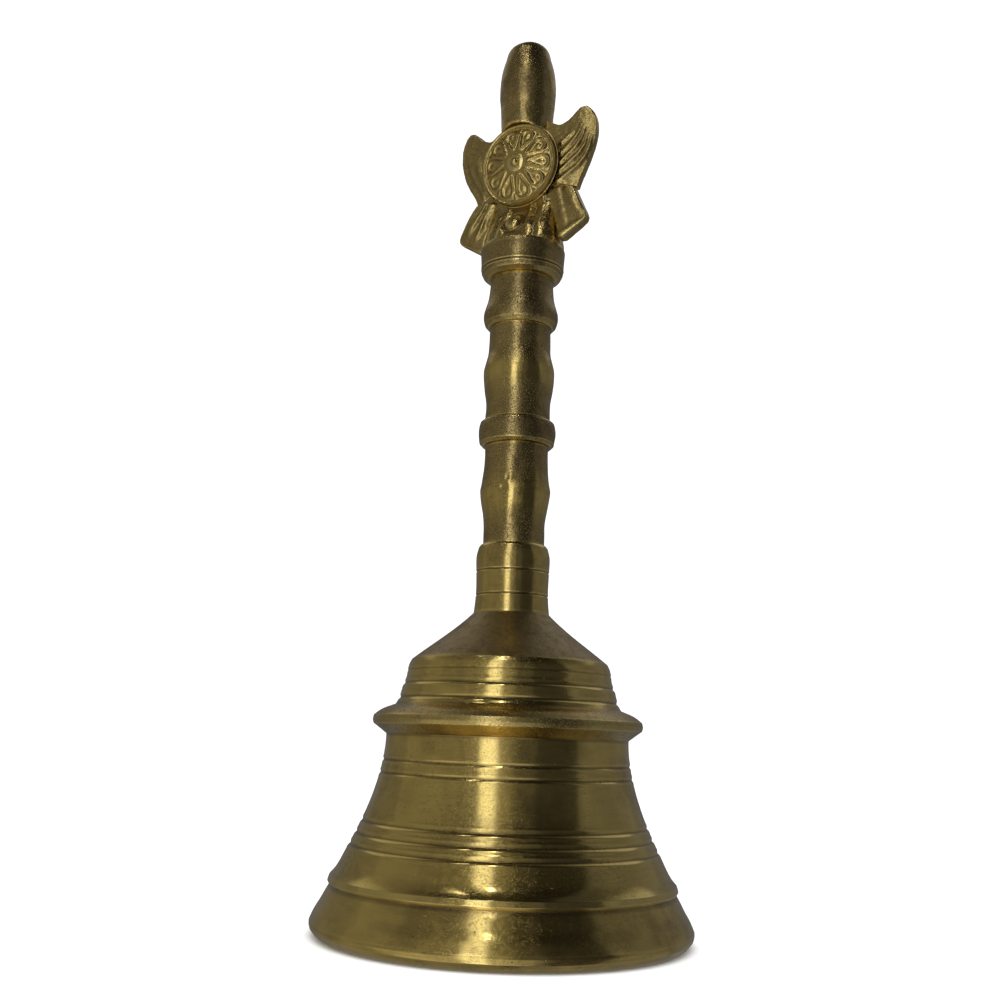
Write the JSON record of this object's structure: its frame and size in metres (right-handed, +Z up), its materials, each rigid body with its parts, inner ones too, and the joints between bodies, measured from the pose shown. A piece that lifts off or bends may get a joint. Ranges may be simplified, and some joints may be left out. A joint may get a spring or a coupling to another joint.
{
  "type": "hand bell",
  "caption": "Brass hand bell: flared cup on a turned, segmented handle with a winged finial and a swinging clapper.",
  "frame": {"origin": "centre of the mouth, in the plane of the lip", "axes": "+Z up the handle to the knob; -Y is the way the finial's medallion faces; +X towards the right wing"},
  "size_m": [0.076, 0.076, 0.1959],
  "materials": {
    "polished_brass": "lathe-turned and polished, with fine rings and small pits",
    "cast_brass": "cast skin, rubbed dull with brown tarnish",
    "relief_brass": "cast relief, bright on the ridges and dark in the hollows",
    "steel": "plain, lightly oxidised"
  },
  "bodies": {
    "bell": {"bell_cup": "polished_brass", "neck_ferrule": "polished_brass", "lower_grip": "cast_brass", "middle_ring": "polished_brass", "upper_grip": "cast_brass", "upper_collar": "cast_brass", "drum_cap": "cast_brass", "finial_body": "cast_brass", "chakra_disc": "relief_brass", "disc_rivet": "relief_brass", "wing_left": "relief_brass", "wing_right": "relief_brass", "tail_left": "relief_brass", "tail_right": "relief_brass", "tie_rod": "steel", "crown_washer": "steel", "crown_nut": "steel"},
    "link": {"clapper_link": "steel"},
    "clapper": {"clapper_rod": "steel", "clapper_ball": "cast_brass"}
  },
  "joints": [
    {"name": "link_swing", "type": "hinge", "parent": "bell", "child": "link", "pos_m": [0, 0, 0.0488], "axis": [1, 0, 0], "range_deg": [-12, 12]},
    {"name": "clapper_swing", "type": "hinge", "parent": "link", "child": "clapper", "pos_m": [0, 0, 0.0431], "axis": [0, 1, 0], "range_deg": [-34.5, 34.5]}
  ]
}
